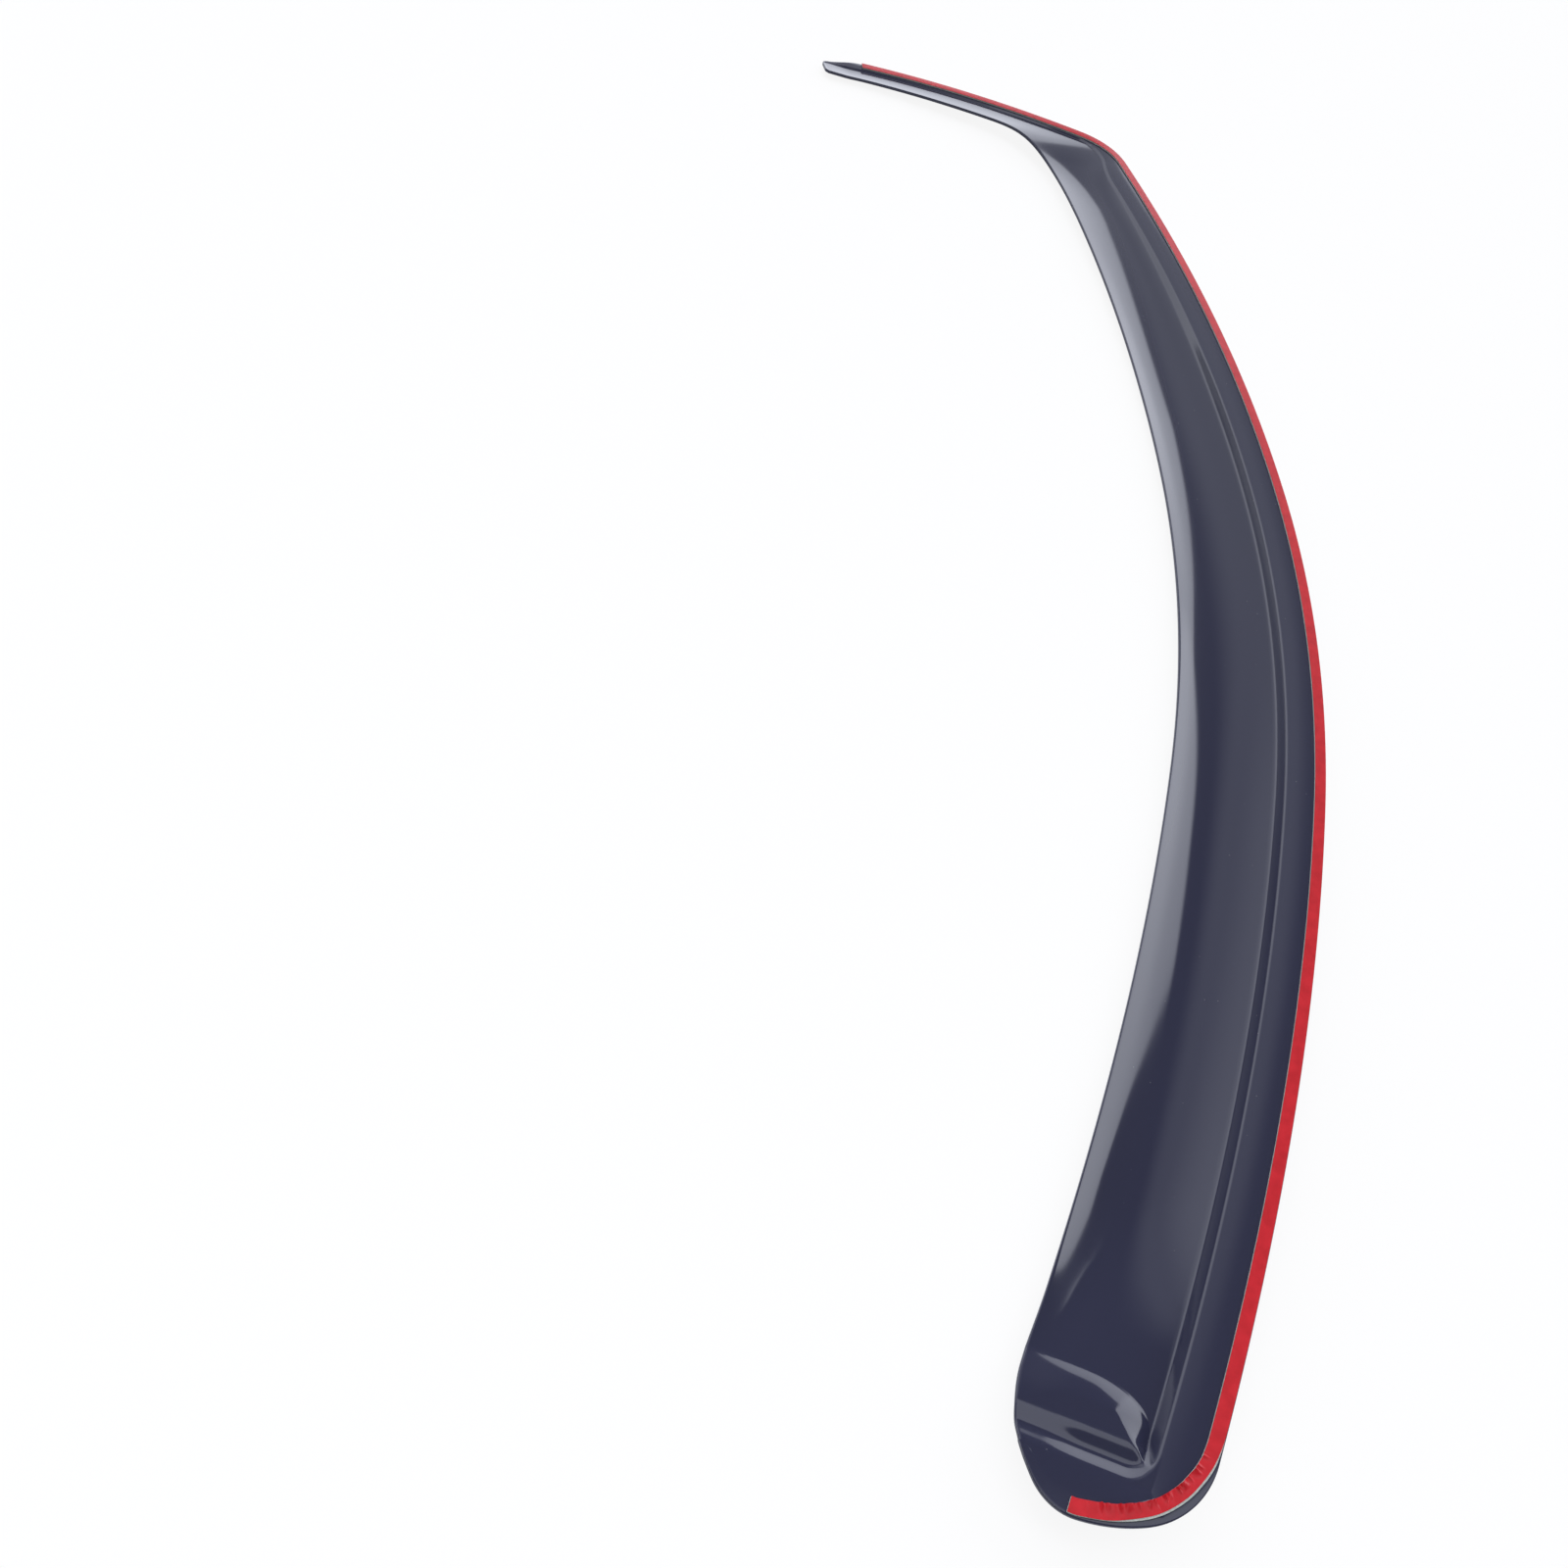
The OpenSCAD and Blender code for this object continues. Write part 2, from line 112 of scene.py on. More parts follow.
# floor: how far it sags below the line from the wall to the lip
SAG = 8
MID_SAG = 5.4
MID_FROM = 430
MID_TO = 650
FAR_SAG = 3.5
FAR_LEAD = 330
FAR_END = 30
ARM_SAG = 0.3
ARM_LEAD = 60
END_SAG = -0.2
END_SAG_FROM = 20
END_SAG_TO = 120
LIP_BEND = 0.5
FAR_BEND = -0.6

# lip at the free edge, with its nearly flat brim, and the curl that keeps the brim steep near the end
LIP_D = 4.5
ARM_LIP_D = 1.6
LIP_RISE = 2.3
LIP_RISE_LEN = 45
BRIM_AT = 0.8
BRIM_LEAN = 1.03
BRIM_SLOPE = 0.68
CURL_W = 8
CURL_BACK = 3.3
CURL_IN = (25, 95)
CURL_OUT = (90, 200)

# near end of the trough: a groove, then a shelf with a foot on its far side and one along the wall
END_BACK = 22.5
END_CORNER = 11
KNEE_SHARE = 0.5
SHELF_D = 0.9
GROOVE_D = 1.8
GROOVE_RIM_D = 0.9
GROOVE_RIM = (0.45, 0.8)
GROOVE_AT = 6.8
GROOVE_FAR = 15
SHELF_LEN = 37.5
SHELF_RUN = 13
SHELF_RIM_RUN = 22
SHELF_RIM = (0.6, 1)
SHELF_SIDE = 2
FOOT_LEAN = 0.3
CREST_LEAN = 1.1
FAR_POWER = 1.4
SIDE_POWER = 1.15

# the sheet as a whole
SHEET = 2.4
TIP_R = 5
TIP_FADE = 25
TIP_DEPTH = 0.25
EDGE_R = 0.7
ARM_TWIST = 0.1
TWIST_LEAD = 40
STEEPEST = 2
BOWL_AT = (180, 170)
BOWL_ACROSS = 2500
BOWL_ALONG = 12000
REST_ROLL = -6.9
REST_PITCH = 0.06

# adhesive tape and its liner; a pair tells where a size comes or goes, along the way or across
TAPE_W = 6
TAPE_T = 1
LINER_T = 0.2
TAPE_INSET = 0.8
TAPE_MARGIN = 0.4
TAPE_FROM = 31
TAPE_BARE = 36
WALL_AFTER = 15
NOSE_INSET = 0.6
NOSE_INSET_IN = 12
NOSE_INSET_OUT = 30
NOSE_BARE = 1.9
NOSE_BARE_IN = (40, 84)
NOSE_BARE_OUT = (90, 114)
FAN_INSET = 0.3
FAN_TAPE_REACH = 0.85
LINER_CUT = 0.13
LINER_CUT_IN = (42, 62)
LINER_CUT_OUT = (98, 120)
FOLD_H = 1.61
FOLD_LEN = 4.3
FOLD_IN = (TAPE_FROM + 6, TAPE_FROM + 14)
FOLD_BEFORE_NOSE = 8
FOLD_AFTER_NOSE = 4
FOLD_ACROSS = (0.15, 1)
FOLD_POWER = 1.5
FOLD_SHIFT = 0.9
FOLD_SHIFT_RATE = 0.83
FOLD_MEAN = 0.8
FOLD_CHANGE = 0.35
FOLD_CHANGE_RATE = 0.61

# how finely the sheet is drawn
END_ROWS = 30
TIP_ROWS = 15
TIP_CROWDING = 1.6
FAN_TAPE_SHARE = 0.62
EDGE_STEPS = [0.05, 0.15, 0.35, 0.6]
TAPE_STEPS = 8
ROLL_STEPS = 10
WALL_STEPS = 16
FLOOR_STEPS = 40
SLOPE_REACH = 3
SLOPE_LEAST = 0.2
LINER_STEPS = 3
HALVINGS = 20
SHEET_SHARP = 50
BAND_SHARP = 40


# plain geometry, seen from above
def clamp(v):
    return max(0.0, min(1.0, v))


def ease(a, b, v):
    """Zero up to a, one from b on, and smooth between."""
    t = clamp((v - a) / (b - a))
    return t * t * (3 - 2 * t)


def hill(a, b, c, d, v):
    """Zero up to a and from d on, with a rise from a to b and a fall from c to d."""
    return ease(a, b, v) * (1 - ease(c, d, v))


def mix(a, b, t):
    return a * (1 - t) + b * t


def blend(a, b, t):
    return tuple(mix(m, n, t) for m, n in zip(a, b))


def spread(a, b, n):
    """The n places from a, left out, to b."""
    return [mix(a, b, k / n) for k in range(1, n + 1)]


def dist(a, b):
    return hypot(a[0] - b[0], a[1] - b[1])


def step(p, way, r):
    return (p[0] + way[0] * r, p[1] + way[1] * r)


def toward(a, b):
    """Unit direction from a to b."""
    d = dist(a, b)
    return ((b[0] - a[0]) / d, (b[1] - a[1]) / d)


def along(p, origin, way):
    """How far p lies from the origin in that direction."""
    return (p[0] - origin[0]) * way[0] + (p[1] - origin[1]) * way[1]


def forward(h):
    return (cos(radians(h)), sin(radians(h)))


def inward(h):
    return (-sin(radians(h)), cos(radians(h)))


# outer edge
def swing(r, h, turn):
    """The way an arc goes that sets off with heading h."""
    h0, h1 = radians(h), radians(h + turn)
    return (r * (sin(h1) - sin(h0)), r * (cos(h0) - cos(h1)))


def joints_of(arcs):
    """Where each arc starts, and where the last one ends: way so far, heading and point."""
    joints = [(0.0, START_TURN, START)]
    for r, turn in arcs:
        s, h, p = joints[-1]
        joints.append((s + r * radians(turn), h + turn, step(p, swing(r, h, turn), 1)))
    return joints


JOINTS = joints_of(ARCS)
NOSE, CORNER, ARM, END = (JOINTS[k][0] for k in (4, 7, 8, 9))
BEND = CORNER - TURN_BEFORE
SLIM = CORNER + TURN_AFTER
TAPE_END = END - TAPE_BARE


def arc_at(s):
    """The arc that holds s, and the turn that it has made by then."""
    k = 0
    while k < len(ARCS) - 1 and s >= JOINTS[k + 1][0]:
        k += 1
    return k, degrees((s - JOINTS[k][0]) / ARCS[k][0])


def heading(s):
    k, turn = arc_at(s)
    return JOINTS[k][1] + turn


def edge(s):
    k, turn = arc_at(s)
    return step(JOINTS[k][2], swing(ARCS[k][0], JOINTS[k][1], turn), 1)


def from_edge(s, w):
    return step(edge(s), inward(heading(s)), w)


# free edge
def side_rim(s):
    w = BODY_W - CORNER_LOSS * ((s - WIDEST_AT) / (CORNER - WIDEST_AT)) ** 2
    return from_edge(s, w + END_FLARE * (1 - ease(NOSE, NOSE + FLARE_LEN, s)))


def arm_rim(s):
    return from_edge(s, mix(ARM_W, TIP_W, clamp((s - SLIM) / (END - SLIM))))


def bend_points():
    """The four points that steer the free edge from the long side into the arm."""
    a, b = side_rim(BEND), arm_rim(SLIM)
    return [a, step(a, toward(side_rim(BEND - 1), a), TURN_REACH),
            step(b, toward(arm_rim(SLIM + 1), b), TURN_ARM_REACH), b]


BEND_POINTS = bend_points()


def on_curve(points, t):
    """The point at share t of the curve that the given points steer."""
    while len(points) > 1:
        points = [blend(a, b, t) for a, b in zip(points, points[1:])]
    return points[0]


def rim(s):
    if s <= BEND:
        return side_rim(s)
    if s >= SLIM:
        return arm_rim(s)
    return on_curve(BEND_POINTS, (s - BEND) / (SLIM - BEND))


# flange and crease
def trim(s):
    """What the arm's bare end loses at the outer edge."""
    return ARM_TRIM * ease(TAPE_END + TRIM_AFTER_TAPE, END - TRIM_BEFORE_END, s)


def crease(s):
    full = mix(FLANGE_W, ARM_FLANGE_W, ease(CORNER - FLANGE_LEAD, ARM, s))
    bare = ease(TAPE_END + TRIM_AFTER_TAPE, END - TIP_FLANGE_AT, s)
    return from_edge(s, mix(full, ARM_TRIM + TIP_FLANGE, bare))


# near end
def square_to(p, low, high):
    """Where between two places the way from the outer edge to p is square to the edge."""
    for _ in range(HALVINGS):
        s = (low + high) / 2
        if along(p, edge(s), forward(heading(s))) > 0:
            low = s
        else:
            high = s
    return (low + high) / 2


NOSE_WAY = forward(heading(NOSE))
RIM_START = edge(0)
CREASE_START = step(crease(NOSE), NOSE_WAY, -END_BACK)
RIM_KNEE = step(rim(NOSE), NOSE_WAY, -KNEE_SHARE * dist(rim(NOSE), RIM_START))
END_LINE = toward(CREASE_START, RIM_START)
END_OUT = (END_LINE[1], -END_LINE[0])
WALL_AT = square_to(CREASE_START, TAPE_FROM + WALL_AFTER, NOSE)


def from_end(p, s):
    """How far p lies from the trough's near end; past its reach any large number does."""
    return max(0, along(p, CREASE_START, END_OUT)) if s < NOSE + END_REACH else END


# heights below the crease
def wall_run(s):
    return mix(WALL_W, ARM_WALL_W, ease(NOSE + WALL_SLIMS_AT, CORNER, s))


def wall_share(u):
    """How much of the wall's height is lost at share u of its run: round, straight, round."""
    full = (DROP_STRAIGHT + DROP_END - DROP_ROUND) / 2
    if u < DROP_ROUND:
        return max(0, u) ** 2 / (2 * DROP_ROUND) / full
    if u < DROP_STRAIGHT:
        return (u - DROP_ROUND / 2) / full
    return 1 - max(0, DROP_END - u) ** 2 / (2 * (DROP_END - DROP_STRAIGHT)) / full


def rounded(a, b):
    """The lesser of two distances, rounded where the end wall meets the side wall."""
    if a < END_CORNER and b < END_CORNER:
        return END_CORNER - hypot(END_CORNER - a, END_CORNER - b)
    return min(a, b)


def far(s):
    """Zero along the near half, rising to one before the corner."""
    return ease(CORNER - FAR_LEAD, CORNER - FAR_END, s)


def wall_depth(s, e):
    fall = mix(WALL_D, ARM_WALL_D, ease(CORNER - WALL_FADE, CORNER, s))
    return fall * mix(END_FALL, 1, ease(0, END_FALL_LEN, e))


def lip_depth(s, e):
    return mix(LIP_D, ARM_LIP_D, far(s)) - LIP_RISE * (1 - ease(0, LIP_RISE_LEN, e))


def sag_at(s, e):
    sag = mix(mix(SAG, MID_SAG, ease(MID_FROM, MID_TO, s)), FAR_SAG, far(s))
    sag = mix(sag, ARM_SAG, ease(CORNER - ARM_LEAD, ARM, s))
    return sag * mix(END_SAG, 1, ease(END_SAG_FROM, END_SAG_TO, e))


def arch(v, bend):
    """A parabola of height one, leaning to one side."""
    return 4 * v * (1 - v) * (1 + bend * (v - 0.5))


def arch_slope(v, bend):
    return 4 * (1 - 2 * v) * (1 + bend * (v - 0.5)) + 4 * v * (1 - v) * bend


def belly(v, bend):
    """The floor's sag across: an arch up to the brim, then a curve that ends nearly straight."""
    if v <= BRIM_AT:
        return arch(v, bend)
    t = (v - BRIM_AT) / (1 - BRIM_AT)
    deep = arch(BRIM_AT, bend)
    lean = arch_slope(BRIM_AT, bend) * (1 - BRIM_AT)
    start = (2 * t ** 3 - 3 * t ** 2 + 1) * deep + (t ** 3 - 2 * t ** 2 + t) * lean
    return start - (t ** 3 - t ** 2) * BRIM_LEAN * deep


def curl(e, back, rise):
    """What the brim gains near the end, so that its slope doesn't fall below the usual one."""
    lack = max(0, BRIM_SLOPE - rise) * hill(*CURL_IN, *CURL_OUT, e)
    u = back / CURL_W
    return lack * CURL_W / 2 * (1 - (1 - clamp(u)) ** 2) * (1 - ease(1, CURL_BACK, u))


def floor_depth(s, e, v, l, w, back):
    fall, lip, sag = wall_depth(s, e), lip_depth(s, e), sag_at(s, e)
    bend = mix(LIP_BEND, FAR_BEND, far(s))
    brim = sag * BRIM_LEAN * arch(BRIM_AT, bend) / (1 - BRIM_AT)
    return mix(fall, lip, v) + sag * belly(v, bend) + curl(e, back, (fall - lip + brim) / (l - w))


def shelf(e, r, v):
    """One on the shelf at the near end, falling to zero at its foot in the trough."""
    past = max(0, e - GROOVE_AT)
    foot = FOOT_LEAN * past
    crest = SHELF_SIDE + CREST_LEAN * past
    run = mix(SHELF_RUN, SHELF_RIM_RUN, ease(*SHELF_RIM, v))
    over_end = max(0, 1 - (SHELF_LEN - e) / run)
    over_side = max(0, 1 - (r - foot) / (crest - foot))
    power = mix(SIDE_POWER, FAR_POWER, over_end / (over_end + over_side + 0.001))
    return 1 - min(1, hypot(over_end, over_side)) ** power


def shelf_depth(e, v):
    cut = mix(GROOVE_D, GROOVE_RIM_D, ease(*GROOVE_RIM, v))
    return SHELF_D + cut * (1 - ease(GROOVE_AT, GROOVE_FAR, e))


def trough(p, s, r, l):
    """The height of the sheet at p, against the flange."""
    w, e = wall_run(s), from_end(p, s)
    v = clamp((r - w) / (l - w))
    into = min(rounded(r, e * w / END_WALL_W), (END - s) * TIP_WALL)
    tip = mix(TIP_DEPTH, 1, ease(0, TIP_FADE, END - s))
    deep = mix(floor_depth(s, e, v, l, w, l - r) * tip, shelf_depth(e, v), shelf(e, r, v))
    return -wall_share(into / w) * deep - ROLL_D * (1 - v)


def bowl(p):
    """The gentle doming of the whole sheet."""
    return (p[0] - BOWL_AT[0]) ** 2 / (2 * BOWL_ACROSS) + (p[1] - BOWL_AT[1]) ** 2 / (2 * BOWL_ALONG)


def lift(p, z):
    return (p[0], p[1], bowl(p) + z)


def round_off(d):
    """What the rounded edge takes off at distance d from it."""
    return EDGE_R - sqrt(EDGE_R ** 2 - (EDGE_R - d) ** 2) if d < EDGE_R else 0.0


# rows across the sheet
def strip_in(s):
    """How far in from the outer edge the tape lies: more round the nose."""
    inset = NOSE_INSET * hill(TAPE_FROM, TAPE_FROM + NOSE_INSET_IN, NOSE - NOSE_INSET_OUT, NOSE, s)
    return TAPE_INSET + inset + NOSE_BARE * hill(*NOSE_BARE_IN, *NOSE_BARE_OUT, s)


def flange_steps(a, b, k):
    """Distances in from the outer edge: its rounding, then the tape from a to b."""
    return [0] + [o * k for o in EDGE_STEPS] + [mix(a, b, j / TAPE_STEPS) for j in range(TAPE_STEPS + 1)]


def roll_shares():
    return [k / ROLL_STEPS for k in range(1, ROLL_STEPS)]


def trough_steps(s, l):
    """Distances in from the crease: wall, floor and the free edge's rounding."""
    w = wall_run(s) * DROP_END
    steps = [w * k / WALL_STEPS for k in range(WALL_STEPS + 1)]
    steps += [mix(w, l, k / FLOOR_STEPS) for k in range(1, FLOOR_STEPS)]
    return steps + [l - o for o in reversed(EDGE_STEPS)] + [l]


def tip_rounded(row, t):
    """The row drawn together where it crosses the arm's rounded tip, t before its end."""
    if t >= TIP_R:
        return row
    loss = TIP_R - sqrt(max(0, TIP_R ** 2 - (TIP_R - t) ** 2))
    middle = blend(row[0][:2], row[-1][:2], 0.5)
    k = 1 - 2 * loss / dist(row[0], row[-1])
    return [(*blend(middle, p[:2], k), p[2]) for p in row]


def body_row(s, c, f):
    """A row from the outer edge over the crease c to the free edge f, and what its edges lose."""
    n = inward(heading(s))
    e = step(edge(s), n, trim(s))
    w = dist(c, e)
    k = min(1, w / (TAPE_INSET + TAPE_W + TAPE_MARGIN))
    b = (strip_in(s) + TAPE_W) * k
    ins = flange_steps(strip_in(s) * k, b, k)
    q = step(e, n, b)
    roll = lambda left: -ROLL_D * clamp(1 - left / ROLL_W) ** 2
    row = [lift(step(e, n, o), roll(w - o)) for o in ins]
    row += [lift(blend(q, c, t), roll(dist(c, q) * (1 - t))) for t in roll_shares()]
    l = dist(f, c)
    runs = trough_steps(s, l)
    for r in runs:
        p = step(c, toward(c, f), r)
        row.append(lift(p, trough(p, s, r, l)))
    spans = ins + [EDGE_R] * len(roll_shares()) + [max(0, l - r) for r in runs]
    cuts = [round_off(min(d, END - s)) for d in spans]
    lean = ARM_TWIST * ease(CORNER - TWIST_LEAD, SLIM, s)
    row = tip_rounded(row, END - s)
    return [(p[0], p[1], p[2] + lean * dist(p, row[0])) for p in row], cuts


def fan_row(s, inner, square):
    """A row of the flange round the nose, from the outer edge to a point of the trough's end."""
    e = edge(s)
    c = inner[:2]
    w = dist(c, e)
    n = inward(heading(s)) if square else toward(e, c)
    a = min(strip_in(s), w * FAN_INSET)
    b = min(a + TAPE_W, w * FAN_TAPE_REACH)
    q = step(e, n, b)
    ins = flange_steps(a, b, min(1, a / TAPE_INSET))
    fall = inner[2] - bowl(c)
    roll = lambda left: fall * clamp(1 - left / ROLL_W) ** 2
    row = [lift(step(e, n, o), 0) for o in ins]
    row += [lift(blend(q, c, t), roll(dist(q, c) * (1 - t))) for t in roll_shares()]
    return row, [round_off(o) for o in ins] + [0] * len(roll_shares())


# the sheet's two faces; a stretch of the body is (how far it goes, how many rows it has)
STRETCHES = [(NOSE + 28, 30), (NOSE + 60, 12), (BEND, 90), (SLIM, 56), (TAPE_END, 26), (END - TIP_R, 12)]


def stations():
    """The body's rows: place along the outer edge, point of the crease, point of the free edge."""
    rows = []
    for k in range(END_ROWS + 1):
        t = k / END_ROWS
        knee = on_curve([RIM_START, RIM_KNEE, rim(NOSE)], t)
        rows.append((mix(WALL_AT, NOSE, t), blend(CREASE_START, crease(NOSE), t), knee))
    places, start = [], NOSE
    for to, n in STRETCHES:
        places += spread(start, to, n)
        start = to
    places += [END - TIP_R * (1 - k / TIP_ROWS) ** TIP_CROWDING for k in range(1, TIP_ROWS + 1)]
    return rows + [(s, crease(s), rim(s)) for s in places]


def slope(a, b):
    return abs(a[2] - b[2]) / max(SLOPE_LEAST, dist(a, b))


def thickness(rows, i, j):
    """The sheet's upright thickness: more where it stands steep."""
    last, cols, reach = len(rows) - 1, len(rows[0]) - 1, SLOPE_REACH
    u = slope(rows[i][max(0, j - reach)], rows[i][min(cols, j + reach)])
    v = slope(rows[max(0, i - reach)][j], rows[min(last, i + reach)][j])
    return SHEET * min(STEEPEST, sqrt(1 + u * u + v * v))


def lowered(rows, drops):
    return [[(p[0], p[1], p[2] - d) for p, d in zip(r, q)] for r, q in zip(rows, drops)]


ROWS = stations()
BODY, BODY_CUTS = zip(*(body_row(*r) for r in ROWS))
LAST = len(BODY) - 1
COLS = len(BODY[0]) - 1
CREASE_COL = COLS + 1 - len(trough_steps(NOSE, BODY_W))
FAN = COLS - CREASE_COL
FAN_TAPE = round(FAN * FAN_TAPE_SHARE)
FAN_S = [WALL_AT] + spread(WALL_AT, TAPE_FROM, FAN_TAPE) + spread(TAPE_FROM, 0, FAN - FAN_TAPE)
FAN_ENDS = BODY[0][CREASE_COL:]
FLANGE, FLANGE_CUTS = zip(*(fan_row(FAN_S[k], FAN_ENDS[k], k <= FAN_TAPE) for k in range(1, FAN)))
THICK = [[thickness(BODY, i, j) for j in range(COLS + 1)] for i in range(LAST + 1)]
UNDER = lowered(BODY, [[t - c for t, c in zip(r, q)] for r, q in zip(THICK, BODY_CUTS)])
UNDER += lowered(FLANGE, [[SHEET - c for c in r] for r in FLANGE_CUTS])
BODY = lowered(BODY, BODY_CUTS)
FLANGE = lowered(FLANGE, FLANGE_CUTS)


# laid down on the floor
def lay(p):
    """A point turned by the roll and the pitch at which the solids lie."""
    a, b = radians(REST_ROLL), radians(REST_PITCH)
    x, z = p[0] * cos(a) + p[2] * sin(a), p[2] * cos(a) - p[0] * sin(a)
    return (x, p[1] * cos(b) - z * sin(b), z * cos(b) + p[1] * sin(b))


def rest_shift():
    """What brings the middle of the sheet's box to the origin and its lowest point to the floor."""
    laid = [lay(p) for r in BODY + FLANGE + UNDER for p in r]
    low, high = ([pick(p[k] for p in laid) for k in range(3)] for pick in (min, max))
    return (-(low[0] + high[0]) / 2, -(low[1] + high[1]) / 2, -low[2])


SHIFT = rest_shift()


def place(p):
    """A point of the shape, laid down as the solids are, in metres."""
    return tuple((a + b) / 1000 for a, b in zip(lay(p), SHIFT))


# meshes
def mesh_object(name, points, faces, smooth=True):
    mesh = bpy.data.meshes.new(name)
    mesh.from_pydata(points, [], faces)
    mesh.validate()
    mesh.update()
    for face in mesh.polygons:
        face.use_smooth = smooth
    ob = bpy.data.objects.new(name, mesh)
    bpy.context.scene.collection.objects.link(ob)
    return ob


def sharpen(ob, angle):
    """Marks the edges where two faces meet at more than this many degrees."""
    bm = bmesh.new()
    bm.from_mesh(ob.data)
    for line in bm.edges:
        if len(line.link_faces) == 2 and line.calc_face_angle(0) > radians(angle):
            line.smooth = False
    bm.to_mesh(ob.data)
    bm.free()


def body_index(i, j):
    return i * (COLS + 1) + j


def fan_index(k, j):
    """A point of the fan, whose first, last and innermost points are the body's own."""
    if k == 0:
        return body_index(0, j)
    if k == FAN:
        return body_index(0, COLS)
    if j == CREASE_COL:
        return body_index(0, CREASE_COL + k)
    return (LAST + 1) * (COLS + 1) + (k - 1) * CREASE_COL + j


def top_faces():
    at, fan = body_index, fan_index
    faces = [(at(i, j), at(i + 1, j), at(i + 1, j + 1), at(i, j + 1))
             for i in range(LAST) for j in range(COLS)]
    faces += [(fan(k + 1, j), fan(k, j), fan(k, j + 1), fan(k + 1, j + 1))
              for k in range(FAN - 1) for j in range(CREASE_COL)]
    return faces + [(fan(FAN, 0), fan(FAN - 1, j), fan(FAN - 1, j + 1)) for j in range(CREASE_COL)]


def border():
    """The points round the sheet's edge, in order."""
    ring = [fan_index(k, 0) for k in range(FAN, 0, -1)] + [body_index(i, 0) for i in range(LAST + 1)]
    ring += [body_index(LAST, j) for j in range(1, COLS + 1)]
    return ring + [body_index(i, COLS) for i in range(LAST - 1, 0, -1)]


def visor_sheet():
    top = [p for r in BODY + FLANGE for p in r]
    under = [p for r in UNDER for p in r]
    n = len(top)
    faces = top_faces()
    ring = border()
    side = [(b, a, a + n, b + n) for a, b in zip(ring, ring[1:] + ring[:1])]
    below = [tuple(v + n for v in reversed(f)) for f in faces]
    ob = mesh_object("visor_sheet", [place(p) for p in top + under], faces + side + below)
    sharpen(ob, SHEET_SHARP)
    return ob


def tape_band():
    """The flange under the tape, row by row, each with its place along the outer edge."""
    a = 1 + len(EDGE_STEPS)
    b = a + TAPE_STEPS + 1
    band = [(FAN_S[k], FLANGE[k - 1][a:b]) for k in range(FAN_TAPE, 0, -1)]
    return band + [(r[0], row[a:b]) for r, row in zip(ROWS, BODY) if r[0] <= TAPE_END]


def ribbon(name, band, low, high):
    """A band between two heights over the flange, each a function of (place, share across)."""
    points, faces = [], []
    m = len(band[0][1])
    ring = 2 * m
    for s, row in band:
        for height, order in ((low, range(m)), (high, reversed(range(m)))):
            points += [place((*row[j][:2], row[j][2] + height(s, j / (m - 1)))) for j in order]
    for i in range(len(band) - 1):
        a, b = i * ring, (i + 1) * ring
        faces += [(b + k, b + (k + 1) % ring, a + (k + 1) % ring, a + k) for k in range(ring)]
    end = (len(band) - 1) * ring
    for j in range(m - 1):
        k = ring - 1 - j
        faces.append((j + 1, k - 1, k, j))
        faces.append((end + k, end + k - 1, end + j + 1, end + j))
    ob = mesh_object(name, points, faces)
    sharpen(ob, BAND_SHARP)
    return ob


def foam_strip():
    return ribbon("foam_strip", tape_band(), lambda s, t: 0, lambda s, t: TAPE_T)


def fold(s, t):
    """Height of the film's folds, on the inner side of the bend round the nose."""
    where = hill(*FOLD_IN, NOSE - FOLD_BEFORE_NOSE, NOSE + FOLD_AFTER_NOSE, s)
    wave = 0.5 + 0.5 * sin(2 * pi * (s + FOLD_SHIFT * sin(s * FOLD_SHIFT_RATE)) / FOLD_LEN)
    uneven = FOLD_MEAN + FOLD_CHANGE * sin(s * FOLD_CHANGE_RATE)
    return FOLD_H * where * uneven * wave ** 2 * ease(*FOLD_ACROSS, t) ** FOLD_POWER


def closer(band, n):
    """The same band with n rows where it had one."""
    out = []
    for (s0, r0), (s1, r1) in zip(band, band[1:]):
        for k in range(n):
            t = k / n
            out.append((mix(s0, s1, t), [blend(a, b, t) for a, b in zip(r0, r1)]))
    return out + [band[-1]]


def narrowed(band):
    """The band less a sliver at its outer edge, where it bends round the nose."""
    out = []
    for s, row in band:
        m = len(row) - 1
        cut = LINER_CUT * hill(*LINER_CUT_IN, *LINER_CUT_OUT, s)
        at = [mix(cut, 1, j / m) * m for j in range(m + 1)]
        first = [min(int(a), m - 1) for a in at]
        out.append((s, [blend(row[k], row[k + 1], a - k) for a, k in zip(at, first)]))
    return out


def liner_strip():
    return ribbon("liner_film", narrowed(closer(tape_band(), LINER_STEPS)),
                  lambda s, t: TAPE_T + fold(s, t), lambda s, t: TAPE_T + LINER_T + fold(s, t))


